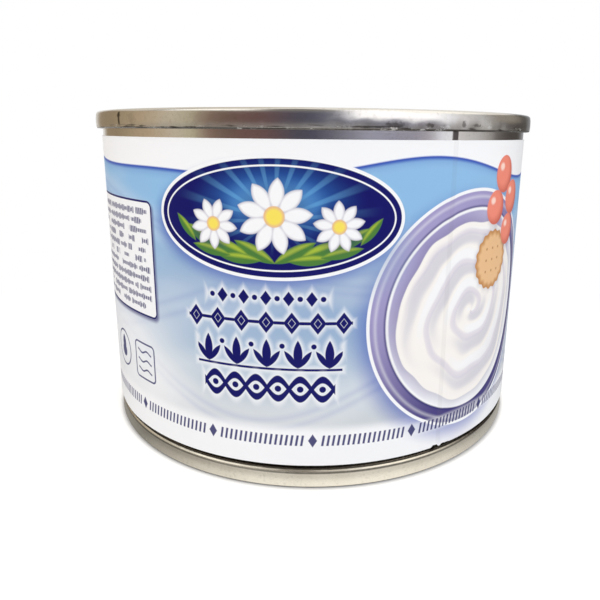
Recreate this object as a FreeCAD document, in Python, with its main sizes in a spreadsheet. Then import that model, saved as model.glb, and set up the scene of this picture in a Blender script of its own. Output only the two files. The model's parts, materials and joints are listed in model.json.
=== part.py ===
"""A shut tinplate can of table cream: a welded body with its contents, two ends and a paper label.

Millimetres, +Z up. The origin is on the can's axis, in the plane that the can stands on, and the
front of the label faces -Y. The body and each end are sheet steel, rolled together in a double seam:
the end's cover hook reaches up behind the body's hook, and the end's seaming wall closes over both.
"""

import FreeCAD, Part
import os

import Sketcher

SIZES = [
    ("can_height", 51.5, "from the plane it stands on to the crown of the top seam"),
    ("wall_radius", 36.55, "outside of the body wall"),
    ("wall_sheet", 0.2, "thickness of the body's sheet"),
    ("end_sheet", 0.24, "thickness of the ends' sheet"),
    ("hook_gap", 0.07, "sealing compound on each side of the cover hook"),
    ("hook_tip", 0.35, "space left above a hook's cut edge"),
    ("top_seam_radius", 37.55, "outside of the top seam"),
    ("top_seam_height", 2.6, "crown to lower edge of the top seam"),
    ("base_seam_radius", 36.6, "outside of the bottom seam"),
    ("base_seam_height", 2.8, "crown to upper edge of the bottom seam"),
    ("neck_radius", 35.65, "outside of the body where it is necked in for the bottom seam"),
    ("neck_height", 3.35, "where the neck starts to widen"),
    ("shoulder_height", 4.4, "where the neck reaches the full wall"),
    ("shoulder_round", 0.9, "rounding of the neck's shoulder"),
    ("crown_round", 0.5, "rounding of a seam's crown"),
    ("curl_round", 0.55, "rounding where the seaming wall curls under"),
    ("panel_depth", 2.95, "crown to the outer ring of the end's panel"),
    ("sink_depth", 3.9, "crown to the floor of the countersink"),
    ("sink_inset", 0.35, "how far the countersink's wall leans in below the seam"),
    ("sink_width", 1.3, "floor of the countersink"),
    ("sink_slope", 0.3, "lean of the countersink's inner wall"),
    ("bead_radius", 27.0, "middle of the raised expansion bead"),
    ("bead_width", 3.0, "foot of the expansion bead"),
    ("bead_slope", 0.8, "width of each flank of the bead"),
    ("bead_rise", 0.4, "height of the expansion bead"),
    ("step_radius", 19.0, "edge of the sunken centre panel"),
    ("step_slope", 0.9, "width of the step down to the centre panel"),
    ("step_drop", 0.35, "depth of the centre panel below the outer ring"),
    ("weld_turn", 1.5, "how far round the body its welded overlap reaches, in degrees"),
    ("weld_rise", 0.05, "how far the weld stands out from the wall"),
    ("weld_angle", -60.0, "direction of the weld from +X, in degrees"),
    ("label_sheet", 0.1, "thickness of the label paper"),
    ("label_foot", 3.7, "lower edge of the label"),
    ("label_height", 44.1, "height of the label"),
    ("lap_width", 9.0, "glued lap where the label's ends meet"),
    ("lap_angle", 165.0, "direction of the lap from +X, in degrees"),
]
TOP = "top"
BASE = "base"
SHEET = "sizes"


def make_sheet(doc):
    """The spreadsheet of driving sizes, one row each: name, value and meaning."""
    sheet = doc.addObject("Spreadsheet::Sheet", SHEET)
    for row, (alias, value, meaning) in enumerate(SIZES, start=1):
        sheet.set(f"A{row}", alias)
        sheet.set(f"B{row}", str(value))
        sheet.setAlias(f"B{row}", alias)
        sheet.set(f"C{row}", meaning)
    doc.recompute()
    return sheet


def cell(alias):
    """An expression that reads one size."""
    return f"{SHEET}.{alias}"


def value(owner, expression):
    """What an expression gives now, as a number."""
    return float(owner.evalExpression(expression))


def level(end, depth):
    """The height that lies a given depth inward from the crown of one end's seam."""
    return f"{cell('can_height')} - ({depth})" if end == TOP else f"{depth}"


def body_radius(end):
    """Outside radius of the body's sheet at one end's seam."""
    return cell("wall_radius") if end == TOP else cell("neck_radius")


def chuck_radius(end):
    """Radius of an end's outer face where it hugs the body's sheet, inside the seam."""
    return f"{body_radius(end)} - {cell('wall_sheet')} - {cell('end_sheet')}"


def origin_plane(body, role):
    """One of a body's own origin planes."""
    return next(plane for plane in body.Origin.OriginFeatures if plane.Role == role)


def new_body(doc, name):
    """An empty body whose label names its node."""
    body = doc.addObject("PartDesign::Body", name)
    body.Label = name
    body.Placement = FreeCAD.Placement()
    return body


def new_sketch(body, name, role):
    """An empty sketch on one of the body's origin planes."""
    sketch = body.newObject("Sketcher::SketchObject", name)
    sketch.AttachmentSupport = [(origin_plane(body, role), "")]
    sketch.MapMode = "FlatFace"
    return sketch


def pin(sketch, kind, axis, line, expression):
    """Holds a line's start at a distance from the origin, or on the axis where that is nothing."""
    distance = value(sketch, expression)
    if distance == 0:
        sketch.addConstraint(Sketcher.Constraint("PointOnObject", line, 1, axis))
        return
    number = sketch.addConstraint(Sketcher.Constraint(kind, -1, 1, line, 1, distance))
    sketch.setExpression(f"Constraints[{number}]", expression)


def half_section(body, name, corners):
    """A closed sketch on the XZ plane through corners given as (radius, height) expressions."""
    sketch = new_sketch(body, name, "XZ_Plane")
    points = [FreeCAD.Vector(value(sketch, across), value(sketch, up), 0) for across, up in corners]
    for start, end in zip(points, points[1:] + points[:1]):
        sketch.addGeometry(Part.LineSegment(start, end))
    for line, (across, up) in enumerate(corners):
        before = (line - 1) % len(corners)
        sketch.addConstraint(Sketcher.Constraint("Coincident", before, 2, line, 1))
        pin(sketch, "DistanceX", -2, line, across)
        pin(sketch, "DistanceY", -1, line, up)
    return sketch


def revolve(body, sketch, sweep=None):
    """Turns a half section about the can's axis: right round, or half the sweep to each side."""
    turned = body.newObject("PartDesign::Revolution", f"{sketch.Name}_turned")
    turned.Profile = (sketch, [""])
    turned.ReferenceAxis = (sketch, ["V_Axis"])
    turned.Angle = 360.0
    if sweep:
        turned.Midplane = True
        turned.setExpression("Angle", sweep)
    sketch.Document.recompute()
    return turned


def ring_edge(feature, across, up):
    """Name of the feature's circular edge at a radius and height given as expressions."""
    radius = value(feature, across)
    height = value(feature, up)
    near = 1e-4
    for number, edge in enumerate(feature.Shape.Edges, start=1):
        ring = edge.Curve
        if ring.TypeId != "Part::GeomCircle":
            continue
        if abs(ring.Radius - radius) < near and abs(ring.Center.z - height) < near:
            return f"Edge{number}"
    raise RuntimeError(f"{feature.Name} has no ring at radius {radius}, height {height}")


def round_rings(body, feature, name, alias, rings):
    """Rounds circular edges of the newest feature by the radius in one cell."""
    rounded = body.newObject("PartDesign::Fillet", name)
    rounded.Base = (feature, [ring_edge(feature, across, up) for across, up in rings])
    rounded.Radius = value(body, cell(alias))
    rounded.setExpression("Radius", cell(alias))
    body.Document.recompute()
    return rounded


def ring_sector(body, name, inner, outer, width):
    """A closed sketch on the XY plane: part of a ring, centred on +X, as wide as its outer chord."""
    sketch = new_sketch(body, name, "XY_Plane")
    inner_radius = value(sketch, inner)
    outer_radius = value(sketch, outer)
    half_turn = value(sketch, width) / (2 * outer_radius)
    centre = FreeCAD.Vector(0, 0, 0)
    upright = FreeCAD.Vector(0, 0, 1)
    for radius in (inner_radius, outer_radius):
        circle = Part.Circle(centre, upright, radius)
        sketch.addGeometry(Part.ArcOfCircle(circle, -half_turn, half_turn))
    ends = [[arc.StartPoint, arc.EndPoint] for arc in sketch.Geometry]
    for inside, outside in zip(*ends):
        sketch.addGeometry(Part.LineSegment(inside, outside))
    for arc in (0, 1):
        sketch.addConstraint(Sketcher.Constraint("Coincident", arc, 3, -1, 1))
        for line, arc_end in ((2, 1), (3, 2)):
            sketch.addConstraint(Sketcher.Constraint("Coincident", arc, arc_end, line, arc + 1))
    sketch.addConstraint(Sketcher.Constraint("Vertical", 1, 1, 1, 2))
    for arc, radius, expression in ((0, inner_radius, inner), (1, outer_radius, outer)):
        number = sketch.addConstraint(Sketcher.Constraint("Radius", arc, radius))
        sketch.setExpression(f"Constraints[{number}]", expression)
    for line in (2, 3):
        sketch.addConstraint(Sketcher.Constraint("PointOnObject", -1, 1, line))
    chord = value(sketch, width)
    number = sketch.addConstraint(Sketcher.Constraint("Distance", 1, 1, 1, 2, chord))
    sketch.setExpression(f"Constraints[{number}]", width)
    return sketch


def stand_strip(body, sketch, direction, foot, rise):
    """Turns a ring sector to its direction, lifts it to its foot and pads it upwards."""
    sketch.setExpression(".AttachmentOffset.Base.z", foot)
    sketch.setExpression(".AttachmentOffset.Rotation.Angle", direction)
    strip = body.newObject("PartDesign::Pad", f"{sketch.Name}_pad")
    strip.Profile = (sketch, [""])
    strip.Length = value(body, rise)
    strip.setExpression("Length", rise)
    body.Document.recompute()
    return strip


def end_underside(end):
    """Corners of an end's inner face, from the axis to the seam: the contents press against it."""
    sheet = cell("end_sheet")
    chuck = f"{body_radius(end)} - {cell('wall_sheet')}"
    sink_outer = f"{chuck} - {cell('sink_inset')}"
    sink_inner = f"{sink_outer} - {cell('sink_width')} - 2 * {sheet}"
    panel_under = f"{cell('panel_depth')} + {cell('step_drop')} + {sheet}"
    sink_under = f"{cell('sink_depth')} + {sheet}"
    return [
        ("0", level(end, panel_under)),
        (f"{sink_inner} - {cell('sink_slope')}", level(end, panel_under)),
        (sink_inner, level(end, sink_under)),
        (sink_outer, level(end, sink_under)),
        (chuck, level(end, f"{cell(end + '_seam_height')}")),
        (chuck, level(end, sheet)),
    ]


def hook_corners(end):
    """Corners of the body's hook, from the crown of its fold to the foot of its outer face."""
    outer = f"{body_radius(end)} + 2 * {cell('hook_gap')} + {cell('end_sheet')} + {cell('wall_sheet')}"
    inner = f"{outer} - {cell('wall_sheet')}"
    cut = f"{cell(end + '_seam_height')} - {cell('end_sheet')} - {cell('hook_tip')}"
    fold = f"{cell('end_sheet')} + {cell('wall_sheet')}"
    return [
        (outer, level(end, cell("end_sheet"))),
        (outer, level(end, cut)),
        (inner, level(end, cut)),
        (inner, level(end, fold)),
        (body_radius(end), level(end, fold)),
    ]


def make_body(doc):
    """The welded body and the contents that fill it, necked in at the foot, with a hook at each end."""
    body = new_body(doc, "can_body")
    neck = (cell("neck_radius"), cell("neck_height"))
    shoulder = (cell("wall_radius"), cell("shoulder_height"))
    upper = end_underside(TOP) + hook_corners(TOP)
    lower = end_underside(BASE) + hook_corners(BASE)
    turned = revolve(body, half_section(body, "wall", upper + [shoulder, neck] + lower[::-1]))
    rounded = round_rings(body, turned, "shoulder_rounding", "shoulder_round", [shoulder])
    plain_faces = len(rounded.Shape.Faces)
    if len(add_weld(body).Shape.Faces) <= plain_faces:
        raise RuntimeError("the weld doesn't show on the wall")
    return body


def add_weld(body):
    """The welded overlap of the body's sheet: a narrow strip down the wall, shoulder and neck."""
    path = [
        (cell("wall_radius"), level(TOP, cell("top_seam_height"))),
        (cell("wall_radius"), cell("shoulder_height")),
        (cell("neck_radius"), cell("neck_height")),
        (cell("neck_radius"), level(BASE, cell("base_seam_height"))),
    ]
    outside = [(f"{across} + {cell('weld_rise')}", up) for across, up in path]
    inside = [(f"{across} - {cell('wall_sheet')}", up) for across, up in path]
    sketch = half_section(body, "weld", outside + inside[::-1])
    upright = FreeCAD.Rotation(FreeCAD.Vector(0, 1, 0), 1)
    sketch.AttachmentOffset = FreeCAD.Placement(FreeCAD.Vector(), upright)
    sketch.setExpression(".AttachmentOffset.Rotation.Angle", cell("weld_angle"))
    return revolve(body, sketch, sweep=cell("weld_turn"))


def end_panel(end):
    """Corners of an end's outer face, from the axis over the bead and countersink to the chuck wall."""
    sheet = cell("end_sheet")
    sink_outer = f"{chuck_radius(end)} - {cell('sink_inset')} + {sheet} / 2"
    sink_inner = f"{sink_outer} - {cell('sink_width')}"
    ring = cell("panel_depth")
    centre = f"{ring} + {cell('step_drop')}"
    crest = f"{ring} - {cell('bead_rise')}"
    bead_foot = f"{cell('bead_width')} / 2"
    bead_top = f"{bead_foot} - {cell('bead_slope')}"
    bead = cell("bead_radius")
    return [
        ("0", centre),
        (cell("step_radius"), centre),
        (f"{cell('step_radius')} + {cell('step_slope')}", ring),
        (f"{bead} - ({bead_foot})", ring),
        (f"{bead} - ({bead_top})", crest),
        (f"{bead} + {bead_top}", crest),
        (f"{bead} + {bead_foot}", ring),
        (f"{sink_inner} - {cell('sink_slope')}", ring),
        (sink_inner, cell("sink_depth")),
        (sink_outer, cell("sink_depth")),
    ]


def end_seam(end):
    """Corners of an end's seam, from the chuck wall over the crown and round to the cover hook."""
    sheet = cell("end_sheet")
    chuck = chuck_radius(end)
    seam = cell(end + "_seam_radius")
    seam_depth = cell(end + "_seam_height")
    hook_face = f"{body_radius(end)} + {cell('hook_gap')}"
    hook_back = f"{hook_face} + {sheet}"
    hook_top = f"{sheet} + {cell('wall_sheet')} + {cell('hook_tip')}"
    seam_floor = f"{seam_depth} - {sheet}"
    return [
        (chuck, seam_depth),
        (chuck, "0"),
        (seam, "0"),
        (seam, seam_depth),
        (hook_face, seam_depth),
        (hook_face, hook_top),
        (hook_back, hook_top),
        (hook_back, seam_floor),
        (f"{seam} - {sheet}", seam_floor),
        (f"{seam} - {sheet}", sheet),
    ]


def make_end(doc, end):
    """One stamped end: its panel, and the seam curled round the body's hook."""
    body = new_body(doc, f"{end}_end")
    seam = cell(end + "_seam_radius")
    outside = [(across, level(end, depth)) for across, depth in end_panel(end) + end_seam(end)]
    profile = half_section(body, f"{end}_profile", outside + end_underside(end)[::-1])
    turned = revolve(body, profile)
    crown = [(chuck_radius(end), level(end, "0")), (seam, level(end, "0"))]
    crowned = round_rings(body, turned, f"{end}_crown_rounding", "crown_round", crown)
    curl = [(seam, level(end, cell(end + "_seam_height")))]
    round_rings(body, crowned, f"{end}_curl_rounding", "curl_round", curl)
    return body


def make_label(doc):
    """The paper label: a sleeve held by one glued lap, clear of the wall by the height of the weld."""
    body = new_body(doc, "label")
    inner = f"{cell('wall_radius')} + {cell('weld_rise')}"
    outer = f"{inner} + {cell('label_sheet')}"
    foot = cell("label_foot")
    head = f"{foot} + {cell('label_height')}"
    corners = [(inner, foot), (outer, foot), (outer, head), (inner, head)]
    sleeve = revolve(body, half_section(body, "sleeve", corners))
    before = sleeve.Shape.Volume
    lap_inner = f"{inner} + {cell('label_sheet')} / 2"
    lap_outer = f"{outer} + {cell('label_sheet')}"
    sector = ring_sector(body, "lap", lap_inner, lap_outer, cell("lap_width"))
    lap = stand_strip(body, sector, cell("lap_angle"), foot, cell("label_height"))
    if lap.Shape.Volume <= before:
        raise RuntimeError("the lap added nothing to the sleeve")
    return body


def check(doc, bodies):
    """Stops if any object failed or any piece isn't one valid solid."""
    for thing in doc.Objects:
        if "Invalid" in thing.State or "Error" in thing.State:
            raise RuntimeError(f"{thing.Name} failed: {thing.State}")
    for body in bodies:
        shape = body.Shape
        if shape.isNull() or not shape.isValid() or len(shape.Solids) != 1:
            raise RuntimeError(f"{body.Label} isn't one valid solid")


def main():
    doc = FreeCAD.newDocument("can")
    make_sheet(doc)
    bodies = [make_body(doc), make_end(doc, TOP), make_end(doc, BASE), make_label(doc)]
    doc.recompute()
    check(doc, bodies)
    os.makedirs("parts", exist_ok=True)
    for body in bodies:
        body.Shape.exportStep(f"parts/{body.Label}.step")
        print(f"{body.Label}: {body.Shape.Volume:.1f} mm3, {len(body.Shape.Faces)} faces")


main()
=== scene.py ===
"""Finishes a shut can of table cream: two stamped tinplate ends, a welded body and a printed paper label.

Metres, +Z up, with the front of the label facing -Y. The welded body is the CAD's own mesh with a better finish.
The two ends are turned up as sheet steel and seamed, and the label is bent round the body from a flat sheet.
"""

import json
import math

import bpy
from bpy.props import FloatProperty, FloatVectorProperty, IntProperty, PointerProperty
from mathutils import Matrix, Vector

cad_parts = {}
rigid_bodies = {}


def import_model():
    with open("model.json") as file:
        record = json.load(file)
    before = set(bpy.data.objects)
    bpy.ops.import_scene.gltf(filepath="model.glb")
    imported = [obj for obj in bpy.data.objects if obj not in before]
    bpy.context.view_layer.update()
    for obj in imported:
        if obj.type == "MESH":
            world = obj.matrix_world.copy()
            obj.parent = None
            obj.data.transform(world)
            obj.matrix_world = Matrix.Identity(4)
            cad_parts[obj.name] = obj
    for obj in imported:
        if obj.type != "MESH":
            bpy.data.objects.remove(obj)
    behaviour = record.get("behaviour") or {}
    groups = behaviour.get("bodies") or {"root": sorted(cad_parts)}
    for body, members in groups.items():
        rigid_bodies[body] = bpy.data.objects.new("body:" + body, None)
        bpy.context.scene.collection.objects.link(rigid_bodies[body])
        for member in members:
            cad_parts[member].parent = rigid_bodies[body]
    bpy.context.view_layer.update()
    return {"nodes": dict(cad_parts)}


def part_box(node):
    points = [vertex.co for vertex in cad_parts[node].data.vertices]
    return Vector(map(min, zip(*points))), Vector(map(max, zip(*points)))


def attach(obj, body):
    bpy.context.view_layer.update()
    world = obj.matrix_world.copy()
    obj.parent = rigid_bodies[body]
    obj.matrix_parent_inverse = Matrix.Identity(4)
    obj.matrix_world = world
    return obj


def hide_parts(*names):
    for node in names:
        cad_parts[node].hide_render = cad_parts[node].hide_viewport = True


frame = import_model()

bl_info = {
    "name": "Tinned cream",
    "version": (1, 0, 0),
    "blender": (4, 5, 0),
    "location": "View3D > Sidebar > Tinned cream",
    "description": "Finishes a shut tinplate can: seamed ends, welded body, printed paper label and a plain studio",
    "category": "Object",
}

MM = 0.001
FULL_TURN = 2 * math.pi
TOP_NODE = "top_end"
BASE_NODE = "base_end"
BODY_NODE = "can_body"
LABEL_NODE = "label"
LABEL_RADIUS = 36.7
FACE = math.pi * LABEL_RADIUS

# Directions from the can's axis in degrees: the body's weld, the battered part of the top seam and its pleat.
WELD_ANGLE, BATTERED_ANGLE, PLEAT_ANGLE = -60, -68, -136
# Belts of painted shade on each piece, darkening the neck's groove and the seams' creases, curls and foot where they
# fall into shade:
# height, half width, strength at the left and at the right, and how far to the right of the middle it changes.
# Lengths are in millimetres.
TOP_SHADE = ((48.8, 0.42, 0.35, 0.95, -14),)
BASE_SHADE = (
    (2.28, 0.17, 0.6, 0.1, 20), (2.42, 0.22, 0.0, 0.6, -6), (0.08, 0.24, 0.95, 1.0, -8),
    (2.64, 0.3, 0.4, 0.0, -30), (2.64, 0.3, 0.0, 1.05, 20),
)
BODY_SHADE = ((3.0, 1.7, 0.82, 0.82, 0),)
# Corners of each seam's outer wall, from its crown to its curl: inset, depth and rounding in millimetres.
TOP_WALL = ((0.22, 0.0, 0.5), (0.0, 1.5, 6.5), (0.12, 2.6, 0.26))
BASE_WALL = (
    (0.0, 0.0, 0.5), (0.0, 1.4, 6.0), (0.17, 2.4, 0.07), (0.05, 2.5, 0.09), (0.06, 2.6, 0.12),
    (0.29, 2.8, 0.16),
)
# Dents in the top seam: direction in degrees, then depth, push and size in millimetres.
DENTS = (
    (-46.5, 2.3, 0.06, 0.8), (-51.0, 2.2, -0.05, 0.8), (-55.2, 2.0, 0.1, 1.0), (-59.5, 1.9, 0.07, 0.8),
    (-63.5, 2.2, -0.06, 0.9), (-67.5, 2.2, 0.05, 0.6), (-71.2, 2.2, -0.05, 0.7), (-75.0, 2.2, 0.04, 0.8),
    (-80.8, 2.3, 0.05, 1.1), (-86.5, 2.3, 0.05, 1.0), (-120.0, 2.35, 0.04, 0.9), (-131.0, 2.3, 0.05, 1.2),
)
# Painted shade and painted glints on the top seam, over its dents, wrinkles and pleat: direction in degrees, then
# height, half width and half height in millimetres, and strength.
SHADE_MARKS = (
    (-136.0, 50.75, 0.45, 0.4, 0.75), (-131.0, 50.2, 1.0, 0.8, 0.14), (-131.3, 49.14, 1.3, 0.1, 0.6),
    (-120.9, 49.08, 0.6, 0.1, 0.5), (-114.2, 49.14, 1.0, 0.1, 0.6), (-80.8, 49.28, 2.2, 0.13, 0.55),
    (-75.0, 49.6, 1.25, 0.36, 0.6), (-67.5, 49.62, 0.62, 0.24, 0.65), (-59.2, 49.75, 0.34, 0.5, 0.6),
    (-55.4, 49.68, 0.85, 0.2, 0.55),
)
GLINT_MARKS = (
    (-114.2, 49.85, 0.45, 0.35, 0.3), (-106.5, 49.45, 0.6, 0.3, 0.35), (-99.6, 49.6, 0.4, 0.3, 0.45),
    (-95.3, 49.3, 1.0, 0.25, 0.35), (-71.2, 49.6, 0.6, 0.5, 0.45), (-63.6, 49.42, 0.55, 0.24, 0.5),
    (-51.4, 49.45, 0.5, 0.2, 0.8), (-47.0, 49.4, 0.4, 0.15, 0.7), (-42.0, 49.32, 1.4, 0.12, 0.6),
)


def tint(red, green, blue):
    """A colour mixed on a screen, 0 to 255, as the linear values that Blender works in."""
    channels = []
    for level in (red, green, blue):
        share = level / 255
        channels.append(share / 12.92 if share <= 0.04045 else ((share + 0.055) / 1.055) ** 2.4)
    return (*channels, 1.0)


def ink(name, meaning, *levels):
    """A colour property whose default is given on a screen's scale of 0 to 255."""
    return FloatVectorProperty(
        name=name, description=meaning, default=tint(*levels), size=4, subtype="COLOR", min=0, max=1
    )


def length(name, meaning, millimetres):
    """A length property whose default is given in millimetres."""
    return FloatProperty(name=name, description=meaning, default=millimetres * MM, unit="LENGTH", subtype="DISTANCE")


class EndSizes(bpy.types.PropertyGroup):
    """Sizes of the two stamped ends."""

    sheet: length("Sheet", "Thickness of the ends' tinplate", 0.24)
    wall_sheet: length("Wall sheet", "Thickness of the body's tinplate", 0.2)
    wall_radius: length("Wall radius", "Outside of the body's wall", 36.55)
    neck_radius: length("Neck radius", "Outside of the body where it is necked in at its foot", 35.65)
    panel_depth: length("Panel depth", "From the crown to the outer ring of the panel", 2.95)
    sink_depth: length("Countersink depth", "From the crown to the floor of the countersink", 3.9)
    sink_width: length("Countersink width", "Width of the countersink's floor", 1.3)
    sink_inset: length("Countersink inset", "How far the countersink's wall leans in below the seam", 0.35)
    bead_radius: length("Bead radius", "Middle of the raised expansion bead", 27.0)
    bead_rise: length("Bead rise", "Height of the expansion bead", 0.4)
    step_radius: length("Step radius", "Edge of the sunken centre panel", 19.0)
    step_drop: length("Step drop", "Depth of the centre panel below the outer ring", 0.35)
    crown_round: length("Seam rounding", "Rounding of the seam's crown", 0.5)
    hook_gap: length("Hook gap", "Sealing compound between the hooks", 0.07)
    wrinkle: length("Wrinkle", "How far the seaming wall is wrinkled", 0.1)
    facets: IntProperty(name="Facets", description="Divisions round an end", default=420, min=48, max=720)


class SleeveSizes(bpy.types.PropertyGroup):
    """Sizes of the paper label."""

    paper: length("Paper", "Thickness of the label paper", 0.1)
    lap: length("Lap", "Width of the glued lap", 9.0)
    lap_centre: length("Lap centre", "Distance round the label from its front to the middle of the lap", -67.3)
    weld: length("Weld", "Distance round the label from its front to the weld under it", 19.2)
    weld_rise: length("Weld rise", "How far the weld lifts the paper", 0.11)
    notch: length("Notch", "Height of the nick in the paper's foot over the weld", 0.35)
    cockle: length("Cockle", "How far the paper's edges stand away from the wall", 0.09)
    columns: IntProperty(name="Columns", description="Divisions round the label", default=720, min=90, max=1440)
    rows: IntProperty(name="Rows", description="Divisions up the label", default=24, min=4, max=96)


class LabelInks(bpy.types.PropertyGroup):
    """Inks of the label, as they look once printed."""

    paper: ink("Paper", "Coated white of the label paper", 246, 247, 250)
    sky: ink("Sky", "Upper part of the ground", 142, 188, 229)
    haze: ink("Haze", "Lower part of the ground", 206, 211, 216)
    dusk: ink("Dusk", "Middle of the ground", 140, 167, 203)
    navy: ink("Navy", "Emblem, ornament and rules", 8, 8, 100)
    royal: ink("Royal", "Light in the middle of the emblem", 52, 118, 200)
    aqua: ink("Aqua", "Bright rim of light in the emblem", 118, 192, 240)
    violet: ink("Violet", "Darker side of the plate's rim", 66, 58, 124)
    lilac: ink("Lilac", "Lighter side of the plate's rim", 162, 154, 200)
    cream: ink("Cream", "Whipped cream on the plate", 247, 243, 239)
    shade: ink("Shade", "Hollows of the cream", 209, 207, 217)
    edge: ink("Edge", "Soft blue under the white waves", 50, 82, 182)
    leaf: ink("Leaf", "Bright side of the leaves", 166, 189, 61)
    stem: ink("Stem", "Dark side of the leaves", 76, 127, 57)
    yolk: ink("Yolk", "Hearts of the flowers", 248, 226, 96)
    coral: ink("Coral", "Berries", 240, 140, 120)
    crust: ink("Crust", "Biscuit", 233, 190, 142)


class StudioLevels(bpy.types.PropertyGroup):
    """Light, camera and floor."""

    ambient: FloatProperty(name="Ambient", description="Even light from all round", default=0.62, min=0, max=2)
    key: FloatProperty(name="Key", description="Lamp at the front right", default=1.3, min=0, unit="POWER")
    fill: FloatProperty(name="Fill", description="Lamp at the left", default=1.25, min=0, unit="POWER")
    lens: FloatProperty(name="Lens", description="Focal length of the camera", default=32.43, unit="CAMERA")


# ---- Fields: numbers that vary over a surface, and shapes drawn with them ----


def feed(tree, slot, value):
    """Links a field or a node's output into a socket, or sets the socket to a plain value."""
    value = getattr(value, "socket", value)
    if isinstance(value, bpy.types.NodeSocket):
        tree.links.new(value, slot)
    else:
        slot.default_value = value


def add_node(tree, kind, inputs=None, **settings):
    """A new node with its settings made and its inputs fed."""
    made = tree.nodes.new("ShaderNode" + kind)
    for name, setting in settings.items():
        setattr(made, name, setting)
    for name, value in (inputs or {}).items():
        feed(tree, made.inputs[name], value)
    return made


class Field:
    """A number that varies over a surface. A sum written on it adds Math nodes to its material."""

    def __init__(self, tree, socket):
        self.tree = tree
        self.socket = socket

    def math(self, operation, *others):
        """One Math node on this field and up to two other numbers."""
        made = add_node(self.tree, "Math", operation=operation)
        for slot, value in zip(made.inputs, (self, *others)):
            feed(self.tree, slot, value)
        return Field(self.tree, made.outputs[0])

    def __add__(self, other):
        return self.math("ADD", other)

    def __sub__(self, other):
        return self.math("SUBTRACT", other)

    def __mul__(self, other):
        return self.math("MULTIPLY", other)

    def __truediv__(self, other):
        return self.math("DIVIDE", other)

    def __neg__(self):
        return self * -1

    def __rsub__(self, other):
        return -self + other

    def __abs__(self):
        return self.math("ABSOLUTE")

    def sine(self):
        return self.math("SINE")

    def least(self, other):
        return self.math("MINIMUM", other)

    def most(self, other):
        return self.math("MAXIMUM", other)

    def wrapped(self, half):
        """The field folded into a run from -half to half, over and over."""
        return self.math("WRAP", half, -half)

    def ramp(self, low, high, start=0.0, end=1.0, shape="SMOOTHSTEP"):
        """Start below low, end above high, and a smooth change between them."""
        made = add_node(
            self.tree,
            "MapRange",
            {"Value": self, "From Min": low, "From Max": high, "To Min": start, "To Max": end},
            interpolation_type=shape,
        )
        return Field(self.tree, made.outputs["Result"])


def axes_of(tree, vector):
    """The three numbers of a vector, as fields."""
    return [Field(tree, output) for output in add_node(tree, "SeparateXYZ", {0: vector}).outputs]


def joined(tree, x, y, up=0.0):
    """A vector from two or three fields."""
    return add_node(tree, "CombineXYZ", {"X": x, "Y": y, "Z": up}).outputs[0]


def reach(x, y):
    """Distance from the middle of a shape."""
    made = add_node(x.tree, "VectorMath", {0: joined(x.tree, x, y)}, operation="LENGTH")
    return Field(x.tree, made.outputs["Value"])


def turned(x, y, degrees):
    """The same place on axes turned about the middle of a shape."""
    cosine, sine = math.cos(math.radians(degrees)), math.sin(math.radians(degrees))
    return x * cosine + y * sine, y * cosine - x * sine


def disc(x, y, radius):
    """Distance outside a round spot."""
    return reach(x, y) - radius


def oval(x, y, half_width, half_height):
    """Distance outside an oval, true near its edge."""
    share = reach(x / half_width, y / half_height)
    steepness = reach(x / half_width**2, y / half_height**2)
    return (share - 1) * share / steepness.most(1e-4)


def panel(x, y, half_width, half_height, rounding):
    """Distance outside a rectangle with rounded corners."""
    past_x = abs(x) - (half_width - rounding)
    past_y = abs(y) - (half_height - rounding)
    return reach(past_x.most(0), past_y.most(0)) + past_x.most(past_y).least(0) - rounding


def blade(x, y, half_width, half_height):
    """Distance outside a pointed leaf that stands on end."""
    centre = (half_height**2 - half_width**2) / (2 * half_width)
    return reach(abs(x) + centre, y) - (centre + half_width)


def lozenge(x, y, half_width, half_height):
    """Distance outside a diamond."""
    slant = math.hypot(half_width, half_height)
    return (abs(x) * half_height + abs(y) * half_width - half_width * half_height) / slant


def petals(x, y, count, distance, half_width, half_length):
    """Distance outside a ring of petals round the middle of a flower."""
    around = y.math("ARCTAN2", x).wrapped(math.pi / count)
    out = reach(x, y)
    return blade(out * around.sine(), out * around.math("COSINE") - distance, half_width, half_length)


def grain(tree, vector, scale, detail=2.0, roughness=0.5):
    """Smooth noise from 0 to 1."""
    made = add_node(tree, "TexNoise", {"Vector": vector, "Scale": scale, "Detail": detail, "Roughness": roughness})
    return Field(tree, made.outputs["Fac"])


def stretched(tree, vector, scale):
    """The same place on axes scaled one by one."""
    return add_node(tree, "Mapping", {"Vector": vector, "Scale": scale}).outputs[0]


def wheel(tree, around, stops):
    """A colour that changes round the compass, from stops in degrees. The field goes once from 0 to 1."""
    made = add_node(tree, "ValToRGB", {"Fac": around})
    ends = made.color_ramp.elements
    ends[0].color = tint(*stops[0][1])
    ends[-1].color = tint(*stops[-1][1])
    for degrees, colour in stops[1:-1]:
        ends.new((degrees + 180) / 360).color = tint(*colour)
    return made.outputs[0]


def blend(tree, cover, under, over):
    """One colour laid over another through a mask."""
    made = add_node(tree, "Mix", data_type="RGBA")
    for slot, value in ((0, cover), (6, under), (7, over)):
        feed(tree, made.inputs[slot], value)
    return made.outputs[2]


class Print:
    """A printed sheet: inks laid one over another, each through its own mask. Sizes are in millimetres."""

    def __init__(self, tree, inks, ground):
        self.tree = tree
        self.inks = inks
        self.colour = self.ink(ground)

    def ink(self, colour):
        """The colour of an ink given by its name. Any other colour is left as it is."""
        return tuple(getattr(self.inks, colour)) if isinstance(colour, str) else colour

    def lay(self, colour, cover):
        """Lays an ink through a mask of 0 to 1."""
        self.colour = blend(self.tree, cover, self.colour, self.ink(colour))

    def fill(self, colour, distance, soft=0.05, strength=1.0):
        """Fills a shape, given the distance outside it, with an edge as soft as asked."""
        self.lay(colour, distance.ramp(-soft, soft, strength, 0.0))

    def line(self, colour, distance, width, soft=0.05, strength=1.0):
        """Draws along a shape's edge."""
        self.fill(colour, abs(distance) - width / 2, soft, strength)


# ---- The label's print ----

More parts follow.
